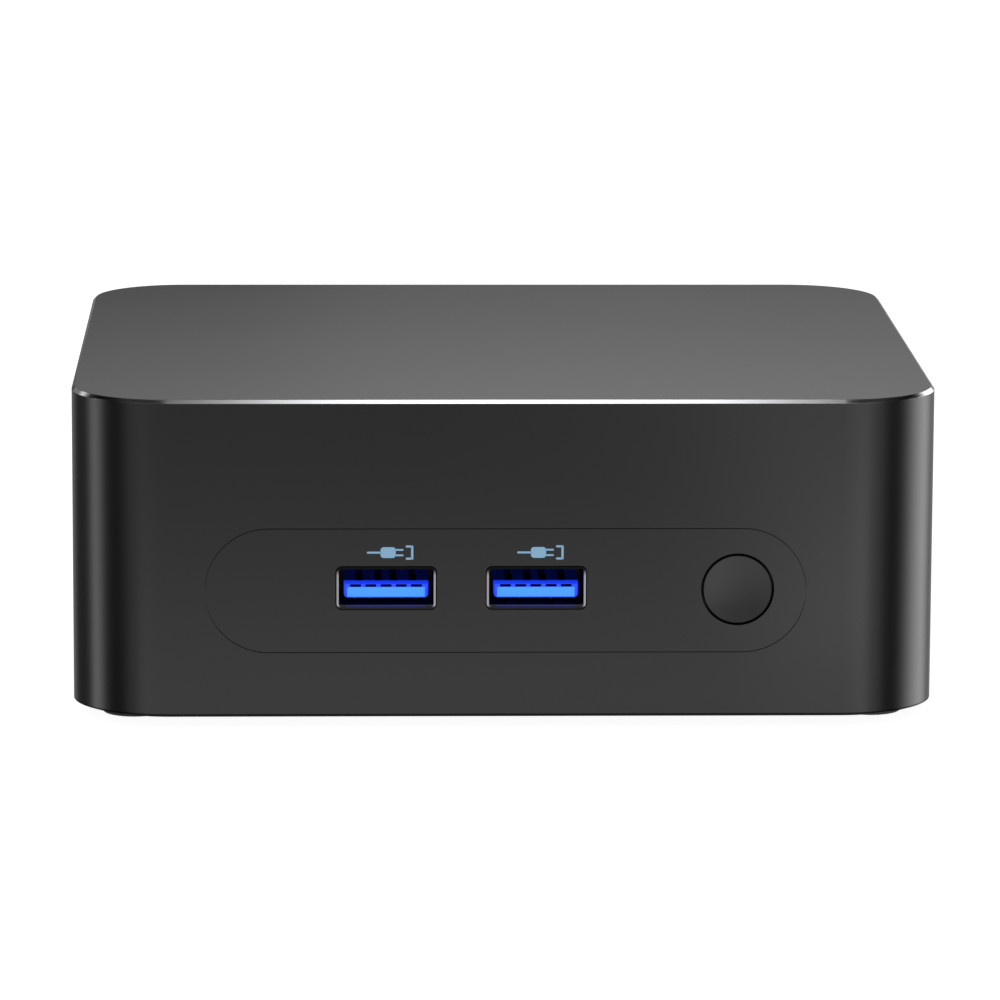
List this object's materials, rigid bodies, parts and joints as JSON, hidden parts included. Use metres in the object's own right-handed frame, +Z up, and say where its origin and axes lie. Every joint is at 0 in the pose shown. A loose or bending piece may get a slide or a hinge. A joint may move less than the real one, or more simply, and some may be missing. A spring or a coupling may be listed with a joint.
{
  "type": "mini pc",
  "caption": "Small desktop computer in a dark box with rounded upright corners, a pill-shaped front panel with USB ports and a power button, rear ports, vents and rubber feet.",
  "frame": {"origin": "centre of the plane the rubber feet rest on", "axes": "+Z up, the front with the power button faces -Y, +X to the right seen from the front"},
  "size_m": [0.1144, 0.106, 0.0438],
  "materials": {
    "case_plastic": "satin dark grey, polished bevel round the top",
    "rear_plastic": "fine texture, black",
    "base_plastic": "fine texture, black",
    "foot_rubber": "matte",
    "button_plastic": "satin dark grey",
    "screw_steel": "black zinc",
    "bright_screw_steel": "nickel plated",
    "insert_brass": "knurled, bright",
    "port_steel": "drawn, nickel plated",
    "usb_blue_plastic": "moulded blue",
    "contact_gold": "gold flashed",
    "black_gloss_plastic": "moulded black",
    "switch_plastic": "moulded white",
    "light_plastic": "clear tinted",
    "pin_steel": "bright",
    "board_laminate": "solder mask, satin green",
    "chip_resin": "moulded resin",
    "ferrite": "pressed powder",
    "capacitor_can": "bright",
    "cell_sleeve": "heat-shrink sleeve",
    "latch_steel": "sprung, plated",
    "copper": "lacquered copper",
    "fin_aluminium": "rolled sheet",
    "fan_plastic": "moulded black",
    "fan_cover_steel": "stamped sheet",
    "stator_steel": "laminations and enamelled wire",
    "cable_jacket": "matte",
    "antenna_foil": "printed film"
  },
  "bodies": {
    "case": {"case_shell": "case_plastic", "front_bezel": "case_plastic", "rear_io_panel": "rear_plastic", "fan_screws": "screw_steel", "card_screws": "screw_steel", "board_screws": "bright_screw_steel", "cooler_screws": "bright_screw_steel", "cooler_springs": "bright_screw_steel", "cooler_standoffs": "bright_screw_steel", "case_inserts": "insert_brass", "card_standoffs": "insert_brass", "fan_bearing": "insert_brass", "front_usb_shells": "port_steel", "rear_usb_shell": "port_steel", "hdmi_shells": "port_steel", "ethernet_shield": "port_steel", "usb_tongues": "usb_blue_plastic", "usb_contacts": "contact_gold", "ethernet_contacts": "contact_gold", "hdmi_tongues": "black_gloss_plastic", "ethernet_body": "black_gloss_plastic", "dc_jack_body": "black_gloss_plastic", "audio_jack": "black_gloss_plastic", "ram_socket": "black_gloss_plastic", "ssd_socket": "black_gloss_plastic", "wifi_socket": "black_gloss_plastic", "power_switch_body": "black_gloss_plastic", "ethernet_lights": "light_plastic", "dc_jack_pin": "pin_steel", "main_board": "board_laminate", "ram_module": "board_laminate", "ssd_card": "board_laminate", "wifi_card": "board_laminate", "soc_package": "chip_resin", "board_chips": "chip_resin", "ram_chips": "chip_resin", "ssd_chips": "chip_resin", "power_inductors": "ferrite", "capacitors": "capacitor_can", "clock_battery": "cell_sleeve", "cold_plate": "copper", "heat_pipe": "copper", "fin_stack": "fin_aluminium", "fan_frame": "fan_plastic", "fan_cover": "fan_cover_steel", "fan_stator": "stator_steel", "fan_cable": "cable_jacket", "antenna_cables": "cable_jacket", "antennas": "antenna_foil"},
    "power_button": {"power_button_cap": "button_plastic"},
    "power_switch": {"power_switch_actuator": "switch_plastic"},
    "fan_rotor": {"fan_impeller": "fan_plastic", "fan_magnet": "ferrite", "fan_shaft": "bright_screw_steel"},
    "base_cover": {"base_plate": "base_plastic", "rubber_feet": "foot_rubber", "base_screws": "screw_steel", "vesa_inserts": "insert_brass"},
    "latch_left": {"ram_latch_left": "latch_steel"},
    "latch_right": {"ram_latch_right": "latch_steel"}
  },
  "joints": [
    {"name": "power_button_press", "type": "slide", "parent": "case", "child": "power_button", "axis": [0, 1, 0], "range_m": [0, 0.0006]},
    {"name": "power_switch_press", "type": "slide", "parent": "case", "child": "power_switch", "axis": [0, 1, 0], "range_m": [0, 0.00025]},
    {"name": "fan_spin", "type": "hinge", "parent": "case", "child": "fan_rotor", "pos_m": [0.0155, 0.002, 0.03224], "axis": [0, 0, 1], "continuous": true},
    {"name": "base_cover_off", "type": "slide", "parent": "case", "child": "base_cover", "axis": [0, 0, -1], "range_m": [0, 0.06]},
    {"name": "ram_latch_left_open", "type": "hinge", "parent": "case", "child": "latch_left", "pos_m": [-0.03415, -0.0127, 0.0194], "axis": [0, 0, -1], "range_deg": [0, 6]},
    {"name": "ram_latch_right_open", "type": "hinge", "parent": "case", "child": "latch_right", "pos_m": [0.03815, -0.0127, 0.0194], "axis": [0, 0, 1], "range_deg": [0, 6]}
  ],
  "couplings": [
    {"joint": "power_switch_press", "follows": "power_button_press", "ratio": 0.4166}
  ]
}
